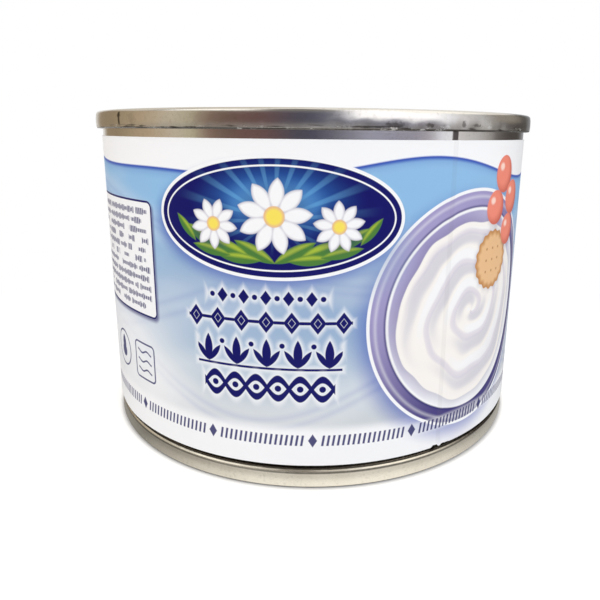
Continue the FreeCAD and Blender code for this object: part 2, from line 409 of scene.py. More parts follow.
def swell(x, height, waves, shift):
    """A wave that meets itself at the end of each face of the label."""
    return ((x - shift) * (waves * FULL_TURN / FACE)).sine() * height


def print_ground(sheet, x, up):
    """Blue that pales towards the foot, with soft white mist drifting across it, and a white foot."""
    tree = sheet.tree
    sheet.lay("sky", up.ramp(9, 38, shape="LINEAR"))
    sheet.lay("dusk", abs(up - 26).ramp(2, 10, 0.6, 0.0) * (swell(x, 0.4, 1, -16) + 0.8))
    radius = FACE / FULL_TURN
    place = joined(tree, swell(x, radius, 1, 0), swell(x, radius, 1, FACE / 4), up)
    drift = grain(tree, stretched(tree, place, (0.05, 0.05, 0.11)), 1.0, 3) + swell(x, 0.12, 1, 28)
    sheet.lay("paper", drift.ramp(0.46, 0.74) * up.ramp(8, 34, 0.3, 0.08))
    for middle, half, height, waves, shift, strength in (
        (25.0, 4.2, 7.0, 1, -20, 0.2),
        (14.0, 3.0, 4.5, 2, 6, 0.22),
        (34.5, 2.2, 6.0, 1, 40, 0.18),
    ):
        ribbon = abs(up - middle - swell(x, height, waves, shift)) - half
        sheet.fill("paper", ribbon, half * 0.6, strength)
        sheet.line("edge", ribbon + half * 0.75, 0.5, 0.7, 0.2)
    sheet.fill("paper", oval((x + 38).wrapped(FACE / 2), up - 11, 18, 13), 7.0, 0.75)
    sheet.lay("paper", up.ramp(8.5, 10.2, 0.95, 0.0))


def print_waves(sheet, x, up):
    """The white head of the label, with a soft blue shade under its wavy edge."""
    edge = swell(x, 1.1, 2, -2) + swell(x, 0.7, 3, 9) + 44.2
    below = edge - up
    sheet.fill("edge", below - 0.3, 1.5, 0.6)
    sheet.line("edge", below - 0.15, 0.5, 0.3)
    sheet.fill("paper", below, 0.12)


def daisy(sheet, x, y, size, turn):
    """A white flower with a yellow heart."""
    x, y = turned(x, y, turn)
    shape = petals(x, y, 9, size * 0.62, size * 0.2, size * 0.42)
    sheet.fill("navy", disc(x, y, size * 0.95), size * 0.35, 0.55)
    sheet.fill("shade", shape - 0.1, 0.08)
    sheet.fill("paper", shape + 0.1, 0.2)
    heart = disc(x, y, size * 0.27)
    sheet.fill("crust", heart - 0.12, 0.08)
    sheet.fill("yolk", heart + size * 0.04, 0.25)


def foliage(sheet, x, y):
    """Two sprays of green leaves along the foot of the emblem."""
    folded = abs(x)
    for along, rise, angle, width, height in (
        (2.6, -4.3, -62, 0.85, 3.0),
        (6.2, -3.9, -70, 0.9, 3.2),
        (9.9, -2.6, -60, 0.8, 2.9),
        (4.6, -5.2, -86, 0.7, 2.9),
        (8.6, -4.3, -78, 0.7, 2.8),
        (12.4, -1.6, -40, 0.6, 2.2),
    ):
        leaf_x, leaf_y = turned(folded - along, y - rise, angle)
        shape = blade(leaf_x, leaf_y, width, height)
        sheet.fill("stem", shape, 0.08)
        sheet.fill("leaf", shape.most(leaf_x) + 0.12, 0.25)


def print_emblem(sheet, x, up):
    """A navy oval of daisies with light behind them, on a soft shadow."""
    x, y = x + 5.0, up - 38.0
    sheet.fill("dusk", oval(x, y + 4.0, 17.0, 8.0), 3.5, 0.5)
    sheet.fill("edge", oval(x + 0.7, y + 0.9, 16.6, 7.6), 1.6, 0.8)
    shape = oval(x, y, 16.4, 7.5)
    sheet.fill("paper", shape - 0.45)
    sheet.fill("navy", shape)
    inside = shape.ramp(-0.1, 0.1, 1.0, 0.0)
    glow = reach(x / 11.0, (y - 2.0) / 5.5)
    sheet.lay("royal", inside * glow.ramp(0.1, 1.1, 0.95, 0.0))
    sheet.lay("aqua", inside * glow.ramp(0.0, 0.7, 0.8, 0.0))
    beams = (y.math("ARCTAN2", x) * 22).sine().ramp(0.2, 0.9)
    sheet.lay("aqua", inside * beams * glow.ramp(0.4, 1.3, 0.35, 0.0))
    foliage(sheet, x, y)
    daisy(sheet, x - 8.2, y + 0.9, 3.1, 12)
    daisy(sheet, x + 8.2, y + 0.9, 3.1, -8)
    daisy(sheet, x, y - 0.3, 4.6, 4)
    sheet.line("paper", shape + 0.85, 0.22)


def print_ornament(sheet, x, up):
    """Four rows of navy ornament, each with a pale halo."""
    for row in (beads, chain, sprigs, braid):
        shape = row(x + 6.2, up)
        sheet.fill("paper", shape - 0.35, 0.45, 0.75)
        sheet.fill("navy", shape)


def row_ends(x, shape, half):
    """A row of ornament cut off at both ends."""
    return shape.most(abs(x) - half)


def beads(x, up):
    """Small diamonds and dots in turn."""
    y = up - 27.7
    step = x.wrapped(1.5)
    gap = (x + 1.5).wrapped(1.5)
    shape = lozenge(step, y, 0.75, 1.0).least(disc(gap, y, 0.36))
    return row_ends(x, shape, 8.2)


def chain(x, up):
    """Hollow diamonds joined by short bars."""
    y = up - 24.4
    step = x.wrapped(1.7)
    ring = abs(lozenge(step, y, 1.15, 1.5) + 0.25) - 0.25
    shape = ring.least(lozenge(step, y, 0.45, 0.6))
    bar = panel((x + 1.7).wrapped(1.7), y, 0.7, 0.22, 0.1)
    return row_ends(x, shape.least(bar), 11.4)


def sprigs(x, up):
    """Upright leaves in threes."""
    y = up - 19.9
    step = x.wrapped(2.1)
    shape = blade(step, y - 0.15, 0.6, 2.0)
    leaf_x, leaf_y = turned(abs(step) - 0.95, y + 0.55, -36)
    shape = shape.least(blade(leaf_x, leaf_y, 0.4, 1.5))
    shape = shape.least(disc((x + 2.1).wrapped(2.1), y - 1.3, 0.36))
    shape = shape.least(panel(x, y + 2.0, 10.5, 0.17, 0.05))
    return row_ends(x, shape, 10.12)


def braid(x, up):
    """Two strands crossing over dots."""
    y = up - 15.1
    wave = (x * (math.pi / 3.0)).sine() * 1.4
    strand = abs(abs(y) - abs(wave)) * 0.65 - 0.33
    dot = disc((x + 1.5).wrapped(1.5), y, 0.45)
    return row_ends(x, strand.least(dot), 9.2)


def print_border(sheet, x, up):
    """A fine line of dashes and diamonds all round the foot."""
    y = up - 7.5
    lean_x, lean_y = turned(x.wrapped(FACE / 320), y, -9)
    strand = panel(lean_x, lean_y, 0.16, 0.85, 0.1)
    ends = abs(y) - 0.8
    stud = lozenge(x.wrapped(FACE / 16), y, 0.62, 1.0)
    clear = 1.15 - abs(x.wrapped(FACE / 16))
    sheet.fill("paper", abs(y) - 1.0, 0.4, 0.45)
    sheet.fill("navy", strand.most(ends).most(clear).least(stud), 0.06, 0.92)


def chance(tree, column, row):
    """A random number for each cell of a grid."""
    cell = joined(tree, column, row)
    made = add_node(tree, "TexWhiteNoise", {"Vector": cell}, noise_dimensions="2D")
    return Field(tree, made.outputs["Value"])


def print_panel(sheet, x, up):
    """A white panel with rows of fine dashes where small print would be."""
    tree = sheet.tree
    x, y = x + 40.0, up - 30.6
    shape = panel(x, y, 16.0, 8.6, 1.0)
    sheet.fill("violet", panel(x - 0.3, y + 0.35, 16.0, 8.6, 1.0), 0.4, 0.8)
    sheet.fill("paper", shape)
    sheet.line("navy", shape + 0.15, 0.3)
    row_height, word_width, stroke_width, thick = 1.4, 1.9, 0.5, 0.19
    rise = y + 7.7
    row = (rise / row_height).math("FLOOR")
    word = chance(tree, ((x + row * 0.83) / word_width).math("FLOOR"), row)
    stroke = chance(tree, (x / stroke_width).math("FLOOR"), row + 40)
    tall = stroke.ramp(0.55, 0.6, 0.26, 0.46)
    off_row = abs((rise - row_height / 2).wrapped(row_height / 2)) - tall
    dash = abs(x.wrapped(stroke_width / 2)).most(off_row + thick) - thick
    inked = word.ramp(0.2, 0.21) * stroke.ramp(0.08, 0.09)
    inside = (shape + 1.1).ramp(-0.05, 0.05, 1.0, 0.0)
    sheet.lay("navy", dash.ramp(-0.07, 0.07, 0.85, 0.0) * inked * inside)


def print_signs(sheet, x, up):
    """Two plain outlined signs under the panel: a drop and a few waves."""
    x1, y1 = x + 36.0, up - 14.5
    ring = abs(disc(x1, y1, 2.9)) - 0.14
    drop = disc(x1, y1 + 0.5, 1.05).least(blade(x1, y1 - 0.7, 0.8, 1.5))
    x2, y2 = x + 28.2, up - 14.5
    frame_line = abs(panel(x2, y2, 2.7, 2.9, 0.7)) - 0.14
    waves = abs(y2.wrapped(0.75) - (x2 * 2.4).sine() * 0.22) - 0.14
    waves = waves.most(panel(x2, y2, 1.9, 1.9, 0.2))
    for shape in (ring, drop, frame_line, waves):
        sheet.fill("navy", shape, 0.06, 0.9)


def print_plate(sheet, x, up):
    """A plate of whipped cream seen from above, with a violet rim."""
    tree = sheet.tree
    x, y = x - 24.6, up - 23.8
    sheet.fill("edge", disc(x + 0.9, y + 1.1, 17.7), 2.2, 0.7)
    out = reach(x, y)
    shape = out - 17.6
    sheet.fill("paper", shape)
    slope = turned(x, y, -50)[0] / 17.0
    rim = blend(tree, slope.ramp(-0.9, 0.6), sheet.ink("lilac"), sheet.ink("violet"))
    sheet.fill(rim, shape + 0.45, 0.08)
    sheet.line("paper", shape + 1.2, 0.3, 0.35, 0.45)
    sheet.line("navy", shape + 2.6, 0.35, 0.2, 0.7)
    well = blend(tree, slope.ramp(-1.0, 0.6), sheet.ink("lilac"), sheet.ink("paper"))
    sheet.fill(well, shape + 2.9, 0.25)
    sheet.line("paper", shape + 2.9, 0.4, 0.15)
    print_cream(sheet, x, y, out)


def print_cream(sheet, x, y, out):
    """A whirl of cream, lit from the upper left."""
    tree = sheet.tree
    wander = grain(tree, joined(tree, x, y), 0.11, 1)
    heap = out + wander * 3.0 - 14.6
    sheet.fill("violet", heap - 0.5, 1.3, 0.4)
    sheet.fill("cream", heap, 0.1)
    phase = (out / 4.6 - y.math("ARCTAN2", x) / FULL_TURN + wander * 0.9) * FULL_TURN
    towards_light = (y * 0.8 - x * 0.6) / out.most(0.5)
    lit = phase.math("COSINE") * towards_light
    body = heap.ramp(-1.3, -0.3, 1.0, 0.0)
    sheet.lay("shade", body * lit.ramp(-0.9, 0.15, 0.85, 0.0))
    sheet.lay("paper", body * lit.ramp(0.1, 0.8, 0.0, 0.9))
    crease = (phase.sine() * 0.5 + 0.5).ramp(0.0, 0.22, 0.3, 0.0)
    sheet.lay("lilac", body * crease)
    lee = (turned(x, y, -50)[0] / 13.0).ramp(0.35, 1.2, 0.0, 0.45)
    sheet.lay("shade", body * lee)


def berry(sheet, x, y, size):
    """A coral berry with a light on its upper left."""
    dark, light = tint(196, 92, 78), tint(255, 226, 214)
    shape = disc(x, y, size)
    lee = shape.ramp(-0.05, 0.05, 1.0, 0.0) * reach(x + 0.5, y - 0.5).ramp(size * 0.6, size * 1.35, 0.0, 0.9)
    sheet.fill("violet", disc(x - 0.2, y + 0.5, size), 0.7, 0.35)
    sheet.fill("coral", shape, 0.07)
    sheet.lay(dark, lee)
    sheet.fill(light, oval(x + size * 0.35, y - size * 0.4, size * 0.25, size * 0.2), 0.25, 0.85)


def biscuit(sheet, x, y, size):
    """A round golden biscuit with a scalloped edge and small holes."""
    baked, pricked = tint(196, 140, 84), tint(176, 118, 70)
    shape = disc(x, y, size) - (y.math("ARCTAN2", x) * 18).sine() * 0.14
    sheet.fill("violet", shape - 0.2, 0.8, 0.35)
    sheet.fill(baked, shape, 0.07)
    sheet.fill("crust", shape + 0.6, 0.5)
    holes = disc(x.wrapped(0.85), y.wrapped(0.85), 0.2).most(disc(x, y, size * 0.62))
    sheet.fill(pricked, holes, 0.08, 0.8)


def print_garnish(sheet, x, up):
    """Berries and a biscuit on the plate's upper right."""
    biscuit(sheet, x - 29.4, up - 30.6, 4.4)
    for along, height, size in ((31.6, 43.0, 2.7), (35.2, 39.4, 2.6), (29.4, 38.3, 2.5), (34.2, 34.6, 2.4)):
        berry(sheet, x - along, up - height, size)


def label_print(tree, inks, start, run, foot, tall):
    """The whole print, repeated on the front and the back, as a colour."""
    uv = add_node(tree, "UVMap", uv_map="UVMap").outputs[0]
    placed = add_node(tree, "Mapping", {"Vector": uv, "Location": (start, foot, 0), "Scale": (run, tall, 1)})
    around, up, _ = axes_of(tree, placed.outputs[0])
    x = around.wrapped(FACE / 2)
    sheet = Print(tree, inks, "haze")
    behind = (print_ground, print_waves, print_plate, print_garnish)
    for part in (*behind, print_emblem, print_ornament, print_panel, print_signs, print_border):
        part(sheet, x, up)
    return sheet.colour


# ---- Materials ----


def new_material(name):
    """A new material, its tree and shader, and where a point of the surface is on its object."""
    material = bpy.data.materials.new(name)
    material.use_nodes = True
    tree = material.node_tree
    place = add_node(tree, "TexCoord").outputs["Object"]
    return material, tree, tree.nodes["Principled BSDF"], place


def emboss(tree, shader, height, distance, strength):
    """Raises a surface by a field of 0 to 1."""
    made = add_node(tree, "Bump", {"Height": height, "Distance": distance, "Strength": strength})
    feed(tree, shader.inputs["Normal"], made.outputs[0])


def printed_paper(inks, start, run, foot, tall, weld):
    """Coated label paper with its print under a thin varnish, and a little painted grey shade along the crease where
    it lies on the weld.
    """
    material, tree, shader, place = new_material("printed_paper")
    # The grey strip along the weld is painted shade of the paper's crease over it.
    rubbed_and_shaded = upright_mark(tree, place, weld * 180 / FACE - 90, 0.42 * MM) * 0.08
    colour = blend(tree, rubbed_and_shaded, label_print(tree, inks, start, run, foot, tall), tint(120, 116, 120))
    feed(tree, shader.inputs["Base Color"], colour)
    shader.inputs["Roughness"].default_value = 0.4
    shader.inputs["Specular IOR Level"].default_value = 0.2
    fibre = grain(tree, place, 2600, 3) * 0.5 + grain(tree, place, 260, 2) * 0.5
    emboss(tree, shader, fibre, 0.00002, 0.35)
    return material


def bare_paper():
    """The paper's uncoated back and cut edges."""
    material, tree, shader, place = new_material("bare_paper")
    fleck = grain(tree, place, 1800, 3)
    colour = blend(tree, fleck.ramp(0.3, 0.8), tint(238, 233, 224), tint(222, 214, 202))
    feed(tree, shader.inputs["Base Color"], colour)
    shader.inputs["Roughness"].default_value = 0.85
    emboss(tree, shader, fleck, 0.00002, 0.4)
    return material


def rolled_lines(tree, place):
    """Fine and broad lines left by the seaming rolls, which run round the can."""
    fine = grain(tree, stretched(tree, place, (60, 60, 5200)), 1.0, 3)
    broad = grain(tree, stretched(tree, place, (45, 45, 1100)), 1.0, 2)
    return fine, broad


def upright_mark(tree, place, degrees, half_width):
    """1 on an upright strip in one direction from the can's axis, 0 elsewhere."""
    side, depth, _ = axes_of(tree, place)
    along, across = turned(side, depth, degrees)
    return abs(across).ramp(half_width * 0.85, half_width * 1.15, 1.0, 0.0) * along.ramp(0.0, MM)


def marked(tree, place, colour, marks, shade):
    """A colour with a list of ragged spots laid on the seam's outer wall, each fading out round it."""
    side, depth, up = axes_of(tree, place)
    ragged = grain(tree, place, 2600, 3) * 2.4 - 1.2
    for degrees, height, half_width, half_height, strength in marks:
        along, across = turned(side, depth, degrees)
        spread = reach(across / (half_width * MM), (up - height * MM) / (half_height * MM)) + ragged
        cover = spread.ramp(0.4, 1.3, strength, 0.0) * along.ramp(36.8 * MM, 37.1 * MM)
        colour = blend(tree, cover, colour, shade)
    return colour


def battered_seam(tree, place, colour, height, wall):
    """The top seam's wear and painted shade: a lower half darkened in patches as painted shade of its wrinkles, with
    rubbed specks, the battered part darkened as painted shade, a pleat in the sheet drawn as painted shade, and
    single marks of painted shade and painted glints.
    """
    belt = abs(height - 49.15 * MM).ramp(0.13 * MM, 0.45 * MM, 1.0, 0.0) * wall
    battered = upright_mark(tree, place, BATTERED_ANGLE, 9 * MM) * wall
    patchy_shade = grain(tree, stretched(tree, place, (330, 330, 2600)), 1.0, 2) + battered * 0.07
    speck = grain(tree, stretched(tree, place, (520, 520, 1500)), 1.0, 3, 0.7) + battered * 0.03
    rubbed_and_shaded = speck.ramp(0.6, 0.68) * belt
    # Painted shade over the lower part of the battered stretch, below its highlight.
    colour = blend(tree, battered * height.ramp(49.3 * MM, 50.6 * MM, 0.4, 0.0), colour, tint(96, 88, 84))
    # Patches of painted shade on the lower half, where the wrinkled sheet falls into shade.
    colour = blend(tree, patchy_shade.ramp(0.56, 0.68) * belt * 0.8, colour, tint(70, 62, 56))
    colour = blend(tree, rubbed_and_shaded * 0.8, colour, tint(252, 250, 246))
    # The pleat has no fold in the mesh: its dark line is painted shade.
    pleat_shade = upright_mark(tree, place, PLEAT_ANGLE, 0.27 * MM) * height.ramp(49.1 * MM, 49.7 * MM) * wall
    colour = blend(tree, pleat_shade * height.ramp(50.95 * MM, 51.15 * MM, 0.85, 0.0), colour, tint(54, 44, 36))
    # Painted shade in the dents and the pleat, then painted glints on the dents and wrinkles.
    colour = marked(tree, place, colour, SHADE_MARKS, tint(72, 62, 57))
    colour = marked(tree, place, colour, GLINT_MARKS, tint(250, 248, 243))
    return colour, rubbed_and_shaded * 0.35


def tinplate(name, tone, polish, shade_belts, wall_from=0.0, battered=False, welded=False):
    """Bright rolled tinplate: a streaky sheen, faint warm stains and belts of painted shade.

    The painted shade and the wear stay further from the axis than wall_from."""
    material, tree, shader, place = new_material(name)
    side, depth, height = axes_of(tree, place)
    wall = reach(side, depth).ramp(wall_from, wall_from + 0.2 * MM)
    fine, broad = rolled_lines(tree, place)
    stain = grain(tree, place, 95, 3)
    speckle = grain(tree, place, 2300, 3, 0.6)
    colour = blend(tree, stain.ramp(0.45, 0.8, 0.0, 0.45), tone, tint(214, 206, 190))
    colour = blend(tree, speckle.ramp(0.5, 0.8, 0.0, 0.35), colour, tint(196, 190, 180))
    rough = fine * 0.07 + broad * 0.05 + stain * 0.05 + speckle * 0.05 + polish
    # Each belt lays painted shade: a dark tint where the metal falls into shade.
    for middle, half, left, right, change in shade_belts:
        belt = abs(height - middle * MM).ramp(half * 0.55 * MM, half * MM, 1.0, 0.0) * wall
        strength = side.ramp((change - 7) * MM, (change + 7) * MM, left, right)
        painted_shade = belt * strength * speckle.ramp(0.2, 0.6, 0.8, 1.0)
        colour = blend(tree, painted_shade, colour, tint(64, 57, 50))
        rough = rough + painted_shade * 0.1
    if battered:
        colour, matt = battered_seam(tree, place, colour, height, wall)
        rough = rough + matt
    if welded:
        weld = upright_mark(tree, place, WELD_ANGLE, 0.46 * MM)
        colour = blend(tree, weld * 0.9, colour, tint(66, 56, 54))
        rough = rough + weld * 0.2
    feed(tree, shader.inputs["Base Color"], colour)
    feed(tree, shader.inputs["Roughness"], rough)
    shader.inputs["Metallic"].default_value = 1.0
    ripple = grain(tree, place, 240, 2)
    emboss(tree, shader, fine * 0.06 + broad * 0.06 + ripple * 0.8 + speckle * 0.06, 0.00003, 0.8)
    return material


# ---- Shaping ----


def clear_selection():
    """Nothing selected, so that the next operator acts on the new piece alone."""
    for thing in bpy.context.view_layer.objects:
        thing.select_set(False)


def edit(piece):
    """Opens a piece in edit mode with its vertices pickable."""
    bpy.context.view_layer.objects.active = piece
    bpy.ops.object.mode_set(mode="EDIT")
    bpy.ops.mesh.select_mode(type="VERT")


def done():
    """Back to object mode."""
    bpy.ops.object.mode_set(mode="OBJECT")


def pick(piece, wanted):
    """Selects the vertices whose place passes a test. The piece is open in edit mode before and after."""
    bpy.ops.mesh.select_all(action="DESELECT")
    done()
    chosen = [vertex for vertex in piece.data.vertices if wanted(vertex.co)]
    for vertex in chosen:
        vertex.select = True
    edit(piece)
    if not chosen:
        raise RuntimeError(f"{piece.name} has nothing there to pick")


def push_softly(value, size):
    """Moves what is picked, and what is joined to it within a distance, less and less."""
    bpy.ops.transform.translate(
        value=value,
        use_proportional_edit=True,
        proportional_edit_falloff="SMOOTH",
        proportional_size=size,
        use_proportional_connected=True,
    )


def weigh(piece, name, weight):
    """A vertex group whose weight is worked out from each vertex's place."""
    group = piece.vertex_groups.new(name=name)
    for vertex in piece.data.vertices:
        share = weight(vertex.co)
        if share > 0:
            group.add([vertex.index], min(share, 1.0), "REPLACE")


def apply_modifier(piece, kind, **settings):
    """Adds a modifier with its settings and applies it."""
    bpy.context.view_layer.objects.active = piece
    made = piece.modifiers.new(kind.lower(), kind)
    for name, setting in settings.items():
        setattr(made, name, setting)
    bpy.ops.object.modifier_apply(modifier=made.name)


def displace(piece, group, scale, strength, level, direction="NORMAL"):
    """Pushes a piece about by clouds of one scale in metres, as far as its vertex group lets it."""
    clouds = bpy.data.textures.new(f"{piece.name}_{scale:.4f}", "CLOUDS")
    clouds.noise_scale = scale
    clouds.noise_depth = 2
    apply_modifier(
        piece,
        "DISPLACE",
        texture=clouds,
        texture_coords="LOCAL",
        direction=direction,
        mid_level=level,
        strength=strength,
        vertex_group=group,
    )


def smooth_shaded(piece, angle=math.pi):
    """Shades a piece smooth, apart from edges that turn more than an angle."""
    clear_selection()
    piece.select_set(True)
    bpy.context.view_layer.objects.active = piece
    if angle < math.pi:
        bpy.ops.object.shade_smooth_by_angle(angle=angle)
    else:
        bpy.ops.object.shade_smooth()


def finish_piece(piece, name, node, slot, *materials):
    """Names a piece, gives it its materials, and puts it in its CAD node's place on the body."""
    piece.name = name
    piece.data.name = name
    piece.data.materials.clear()
    for material in materials:
        piece.data.materials.append(material)
    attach(piece, "root")
    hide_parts(node)


def round_corner(before, corner, after, radius, steps=5):
    """Points along an arc that rounds one corner of a profile."""
    into = (corner - before).normalized()
    out = (after - corner).normalized()
    turn = into.angle(out)
    cut = radius * math.tan(turn / 2)
    side = 1 if into.cross(out) > 0 else -1
    start = corner - into * cut
    centre = start + Vector((-into.y, into.x)) * radius * side
    arm = start - centre
    return [centre + Matrix.Rotation(side * turn * step / steps, 2) @ arm for step in range(steps + 1)]


def rounded_profile(corners):
    """A smooth profile from corners given as (radius, depth, rounding)."""
    points = [Vector(corner[:2]) for corner in corners]
    smooth = [points[0]]
    for number, (*_, rounding) in enumerate(corners[1:-1], start=1):
        if rounding:
            smooth += round_corner(points[number - 1], points[number], points[number + 1], rounding)
        else:
            smooth.append(points[number])
    return smooth + [points[-1]]


def end_profile(sizes, seam_radius, wall_radius, seaming_wall):
    """The outer face of a stamped end, from its centre to the tip of its hook, as (radius, depth, rounding).

    seaming_wall has the corners of the seam's outer wall in millimetres, as (inset, depth, rounding)."""
    start, tip = 0.5 * MM, 0.8 * MM
    step_slope, bead_foot, bead_crest, sink_slope = 0.9 * MM, 1.5 * MM, 0.7 * MM, 0.3 * MM
    tight, easy, wide = 0.3 * MM, 0.35 * MM, 0.4 * MM
    chuck = wall_radius - sizes.wall_sheet - sizes.sheet
    sink_outer = chuck - sizes.sink_inset + sizes.sheet / 2
    sink_inner = sink_outer - sizes.sink_width
    ring = sizes.panel_depth
    centre = ring + sizes.step_drop
    crest = ring - sizes.bead_rise
    hook = wall_radius + sizes.hook_gap
    step = sizes.step_radius
    bead = sizes.bead_radius
    seam_height = seaming_wall[-1][1] * MM
    return [
        (start, centre, 0),
        (step, centre, wide),
        (step + step_slope, ring, wide),
        (bead - bead_foot, ring, tight),
        (bead - bead_crest, crest, tight),
        (bead + bead_crest, crest, tight),
        (bead + bead_foot, ring, tight),
        (sink_inner - sink_slope, ring, easy),
        (sink_inner, sizes.sink_depth, easy),
        (sink_outer, sizes.sink_depth, easy),
        (chuck, seam_height, tight),
        (chuck, 0, sizes.crown_round),
        *((seam_radius - inset * MM, depth * MM, rounding * MM) for inset, depth, rounding in seaming_wall),
        (hook, seam_height, tight),
        (hook, tip, 0),
    ]


def turn_up_end(sizes, name, crown, upward, corners):
    """Draws an end's sheet out from a small disc, ring by ring, and closes the disc."""
    profile = rounded_profile(corners)
    first, rest = profile[0], profile[1:]
    clear_selection()
    height = crown - upward * first.y
    bpy.ops.mesh.primitive_circle_add(
        vertices=sizes.facets, radius=first.x, fill_type="NGON", location=(0, 0, height)
    )
    piece = bpy.context.object
    bpy.ops.object.transform_apply(location=True, rotation=False, scale=False)
    edit(piece)
    bpy.ops.mesh.select_all(action="SELECT")
    bpy.ops.mesh.poke()
    pick(piece, lambda place: place.to_2d().length > first.x / 2)
    last = first
    for point in rest:
        bpy.ops.mesh.extrude_edges_move()
        spread = point.x / last.x
        bpy.ops.transform.resize(value=(spread, spread, 1), center_override=(0, 0, 0))
        bpy.ops.transform.translate(value=(0, 0, upward * (last.y - point.y)))
        last = point
    bpy.ops.mesh.select_all(action="SELECT")
    bpy.ops.mesh.normals_make_consistent(inside=False)
    done()
    piece.name = name
    return piece


def dent(piece, seam_radius, crown, degrees, depth, push, size):
    """Pushes the seaming wall in round one place, or out where the push is below nothing."""
    outward = Vector((math.cos(math.radians(degrees)), math.sin(math.radians(degrees)), 0))
    middle = outward * seam_radius + Vector((0, 0, crown - depth))
    edit(piece)
    pick(piece, lambda place: (place - middle).length < 0.45 * MM)
    push_softly(outward * -push, size)
    done()


def wrinkle_seam(piece, sizes, seam_radius, crown, upward, seam_height):
    """Wrinkles the seaming wall towards its lower edge, finely and in broad waves."""

    def lower_wall(place):
        depth = (crown - place.z) * upward
        on_wall = (place.to_2d().length - (seam_radius - 0.6 * MM)) / (0.3 * MM)
        low = (depth - 0.5 * MM) / (seam_height - 0.5 * MM)
        return max(0.0, min(on_wall, 1.0)) * max(0.0, min(low, 1.0)) if depth < seam_height * 1.05 else 0.0

    weigh(piece, "lower_wall", lower_wall)
    for scale, share in ((0.0035, 0.2), (0.0011, 0.6)):
        displace(piece, "lower_wall", scale, sizes.wrinkle * share, 1.0)
    piece.vertex_groups.clear()


# ---- Operators ----


class CAN_OT_ends(bpy.types.Operator):
    """Stamp and seam the two tinplate ends"""

    bl_idname = "tinned_cream.ends"
    bl_label = "Seamed ends"

    def execute(self, context):
        sizes = context.scene.tinned_ends
        outside_top, outside_neck = sizes.wall_radius + 0.15 * MM, sizes.neck_radius + 0.15 * MM
        top_metal = tinplate("top_tinplate", tint(236, 233, 228), 0.09, TOP_SHADE, outside_top, battered=True)
        base_metal = tinplate("base_tinplate", tint(241, 234, 219), 0.14, BASE_SHADE, outside_neck)
        top = self.make(sizes, "seamed_top", TOP_NODE, 1, sizes.wall_radius, TOP_WALL)
        finish_piece(top, "seamed_top", TOP_NODE, "end_tinplate", top_metal)
        base = self.make(sizes, "seamed_base", BASE_NODE, -1, sizes.neck_radius, BASE_WALL)
        finish_piece(base, "seamed_base", BASE_NODE, "base_tinplate", base_metal)
        return {"FINISHED"}

    def make(self, sizes, name, node, upward, wall_radius, seaming_wall):
        """One end in the place of its CAD node, opening upwards or downwards."""
        low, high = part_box(node)
        crown = high.z if upward > 0 else low.z
        corners = end_profile(sizes, high.x, wall_radius, seaming_wall)
        piece = turn_up_end(sizes, name, crown, upward, corners)
        if upward > 0:
            for degrees, depth, push, size in DENTS:
                dent(piece, high.x, crown, degrees, depth * MM, push * MM, size * MM)
        wrinkle_seam(piece, sizes, high.x, crown, upward, seaming_wall[-1][1] * MM)
        apply_modifier(piece, "SOLIDIFY", thickness=sizes.sheet, offset=-1)
        smooth_shaded(piece)
        return piece


class CAN_OT_body(bpy.types.Operator):
    """Finish the welded body"""

    bl_idname = "tinned_cream.body"
    bl_label = "Welded body"

    def execute(self, context):
        metal = tinplate("welded_body", tint(236, 232, 227), 0.03, BODY_SHADE, welded=True)
        for slot in frame["nodes"][BODY_NODE].material_slots:
            slot.material = metal
        return {"FINISHED"}


